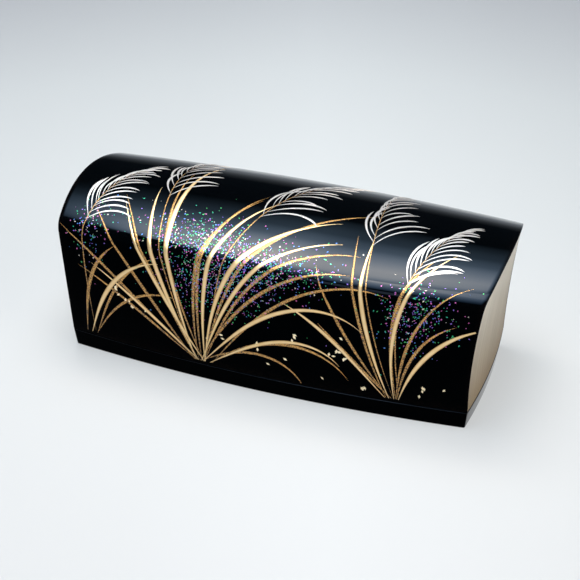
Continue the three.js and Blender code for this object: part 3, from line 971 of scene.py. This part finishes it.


# Matt paper: under half of its paleness is lit, so that it takes the shadow, and the rest is a painted glow
# with painted fall-off
def makePaperWithPaintedGlow():
    material, tree, shader, place = newSurface("paperSweepPaintedGlow")
    axes = addNode(tree, "SeparateXYZ", None, {"Vector": place}).outputs
    turn = math.radians(sweep["viewTurn"])
    facing = {"aside": (math.cos(turn), math.sin(turn)), "away": (-math.sin(turn), math.cos(turn))}
    reach = {"up": axes["Z"]}
    for name, (shareX, shareY) in facing.items():
        part = addNode(tree, "Math", {"operation": "MULTIPLY", 1: shareX}, {0: axes["X"]})
        adding = {"operation": "MULTIPLY_ADD", 1: shareY}
        reach[name] = addNode(tree, "Math", adding, {0: axes["Y"], 2: part})
    # Painted fall-off: the middle of the view stays paler than its sides
    squared = addNode(tree, "Math", {"operation": "MULTIPLY"}, {0: reach["aside"], 1: reach["aside"]})
    reach["away"] = addNode(tree, "Math", {"operation": "ADD"}, {0: squared, 1: reach["away"]})
    paintedFalloffTone = None
    for name, form in sweep["shades"].items():
        span = addNode(tree, "MapRange", form["range"], {"Value": reach[name]})
        shade = setStops(addNode(tree, "ValToRGB", None, {"Fac": span}), form["stops"])
        paintedFalloffTone = addNode(tree, "Mix", multiplied | {"Factor": 1}, {6: paintedFalloffTone, 7: shade}) if paintedFalloffTone else shade
    glow = addNode(tree, "Emission", None, {"Color": paintedFalloffTone})
    dimming = {"data_type": "RGBA", "Factor": sweep["albedo"], 6: srgb("#000000")}
    lit = addNode(tree, "Mix", dimming, {7: paintedFalloffTone})
    fitNode(tree, shader, {"Roughness": 0.9, "Specular IOR Level": 0}, {"Base Color": lit})
    rays = addNode(tree, "LightPath").outputs
    seen = rays["Is Camera Ray"]
    for kind in ("Is Glossy Ray", "Is Transmission Ray"):
        seen = addNode(tree, "Math", {"operation": "MAXIMUM"}, {0: seen, 1: rays[kind]})
    share = addNode(tree, "Math", {"operation": "MULTIPLY", 1: sweep["glow"]}, {0: seen})
    mixed = addNode(tree, "MixShader", None, {0: share, 1: shader, 2: glow})
    fitNode(tree, tree.nodes["Material Output"], None, {"Surface": mixed})
    return material


def buildSweep():
    drop, height = sweep["floorDrop"], sweep["wallHeight"]
    rings = [(r, -drop) for r in np.linspace(sweep["hub"], sweep["floorRadius"], sweep["floorRings"])]
    flare = sweep["wallRadius"] - sweep["floorRadius"]
    for t in quarterTurn(sweep["wallRings"])[1:]:
        rings.append((sweep["floorRadius"] + flare * math.sin(t), height * (1 - math.cos(t)) - drop))
    turns = np.linspace(0, 2 * math.pi, sweep["around"] + 1)[:-1]
    points = [(r * math.cos(t), r * math.sin(t), z) for r, z in rings for t in turns]
    faces = gridFaces(len(rings), len(turns), columnsClose=True) + [list(range(len(turns)))]
    obj = addStageObject("paleSweep", points, faces)
    obj.data.shade_smooth()
    obj.data.materials.append(makePaperWithPaintedGlow())


# Diffusers with a hot centre: their glow, in shares of the radiance, along x and along y, bright
# where it is full and cooler where it is dim
diffuser = {"steps": 49, "bright": "#FFEBD6"}
softboxes = {
    "overheadSoftbox": {
        "height": 0.9,
        "dim": "#A8CBE6",
        "radiance": 30,
        "glowAlong": [
            (-0.68, 0), (-0.54, 0.25), (-0.37, 0.7), (-0.24, 1), (-0.17, 0.78), (-0.05, 0.8),
            (0.01, 0.74), (0.07, 0.66), (0.1, 0.45), (0.15, 0.2), (0.2, 0),
        ],
        "glowAcross": [
            (0.05, 0.5), (0.1, 1), (0.17, 1), (0.28, 0.62),
            (0.42, 0.22), (0.58, 0.07), (0.79, 0.025), (1, 0),
        ],
    },
    "frontSoftbox": {
        "height": 0.901,
        "dim": "#98C0E0",
        "radiance": 30,
        "glowAlong": [
            (-0.42, 0), (-0.36, 0.17), (-0.22, 0.5), (-0.16, 0.85),
            (-0.1, 1), (0.03, 0.75), (0.14, 0.45), (0.22, 0),
        ],
        "glowAcross": [
            (-0.8, 0.05), (-0.5, 0.3), (-0.27, 0.55), (-0.15, 0.65),
            (-0.04, 0.8), (0.05, 1), (0.1, 0),
        ],
    },
}


def buildSoftbox(name, form):
    along, across = np.array(form["glowAlong"]), np.array(form["glowAcross"])
    x = np.linspace(along[0, 0], along[-1, 0], diffuser["steps"])
    y = np.linspace(across[0, 0], across[-1, 0], diffuser["steps"])
    glowX = np.interp(x, along[:, 0], along[:, 1])
    glow = np.interp(y, across[:, 0], across[:, 1])[:, None] * glowX[None, :]
    points = [(px, py, form["height"]) for py in y for px in x]
    obj = addStageObject(name, points, [face[::-1] for face in gridFaces(len(y), len(x))])
    layer = obj.data.attributes.new("glow", "FLOAT", "POINT")
    layer.data.foreach_set("value", glow.reshape(-1).astype(np.float32))
    obj.visible_camera = False
    material, tree = newSurface(name + "Diffuser")[:2]
    level = addNode(tree, "Attribute", {"attribute_name": "glow"}).outputs["Fac"]
    radiance = addNode(tree, "Math", {"operation": "MULTIPLY", 1: form["radiance"]}, {0: level})
    tones = {"data_type": "RGBA", 6: srgb(form["dim"]), 7: srgb(diffuser["bright"])}
    warmth = addNode(tree, "Mix", tones, {"Factor": level})
    emission = addNode(tree, "Emission", None, {"Color": warmth, "Strength": radiance})
    fitNode(tree, tree.nodes["Material Output"], None, {"Surface": emission})
    obj.data.materials.append(material)


panels = {
    "frontStrip": {
        "place": (-0.25, -1.55, 0.17),
        "aim": (0, 0, 0.08),
        "size": (1.1, 0.12),
        "glow": (5, "#F2F6FF"),
    },
    "frontPanel": {
        "place": (-0.16, -1.4, 0.75),
        "aim": (0, 0, 0.08),
        "size": (0.42, 0.7),
        "glow": (2.2, "#E8F0FF"),
    },
    "rightFill": {
        "place": (1.2, -0.3, 0.85),
        "aim": (0.1, 0, 0.06),
        "size": (0.9, 0.9),
        "glow": (4.2, "#FFFBF4"),
    },
}


def addPanel(name, form):
    data = bpy.data.lights.new(name, "AREA")
    data.shape = "RECTANGLE"
    data.size, data.size_y = form["size"]
    radiance, colour = form["glow"]
    data.energy = radiance * math.pi * data.size * data.size_y
    data.color = srgb(colour)[:3]
    light = bpy.data.objects.new(name, data)
    light.location = form["place"]
    toAim = Vector(form["aim"]) - Vector(form["place"])
    light.rotation_euler = toAim.to_track_quat("-Z", "Y").to_euler()
    bpy.context.scene.collection.objects.link(light)


buildSweep()
for name, form in softboxes.items():
    buildSoftbox(name, form)
for name, form in panels.items():
    addPanel(name, form)

world = bpy.context.scene.world or bpy.data.worlds.new("studioDark")
bpy.context.scene.world = world
world.use_nodes = True
fitNode(world.node_tree, world.node_tree.nodes["Background"], {"Color": srgb("#1B2026"), "Strength": 1})
print("studio lit")

# The camera, where a fit of the photo puts it. The view is square.
view = {
    "azimuth": 19.043,
    "elevation": 31.382,
    "roll": 1.071,
    "focalPixels": 1426.35,
    "viewPixels": 580,
    "distance": 1003.2,
    "originAt": (289.34, 344.47),
    "sensorWidth": 36,
}
azimuth, elevation, roll = (math.radians(view[key]) for key in ("azimuth", "elevation", "roll"))
level = math.cos(elevation)
back = Vector((math.sin(azimuth) * level, -math.cos(azimuth) * level, math.sin(elevation)))
across = (-back).cross(Vector((0, 0, 1))).normalized()
upright = across.cross(-back)
right = math.cos(roll) * across + math.sin(roll) * upright
up = -math.sin(roll) * across + math.cos(roll) * upright
perPixel = view["distance"] / view["focalPixels"]
offAxis = [(at - view["viewPixels"] / 2) * perPixel for at in view["originAt"]]
place = (-right * offAxis[0] + up * offAxis[1] + back * view["distance"]) * metresPerMm
cameraData = bpy.data.cameras.new("camera")
cameraData.sensor_width = view["sensorWidth"]
cameraData.lens = view["focalPixels"] * view["sensorWidth"] / view["viewPixels"]
camera = bpy.data.objects.new("camera", cameraData)
camera.matrix_world = Matrix.Translation(place) @ Matrix((right, up, back)).transposed().to_4x4()
bpy.context.scene.collection.objects.link(camera)
bpy.context.scene.camera = camera
bpy.context.scene.view_settings.view_transform = "Standard"

print("camera placed")
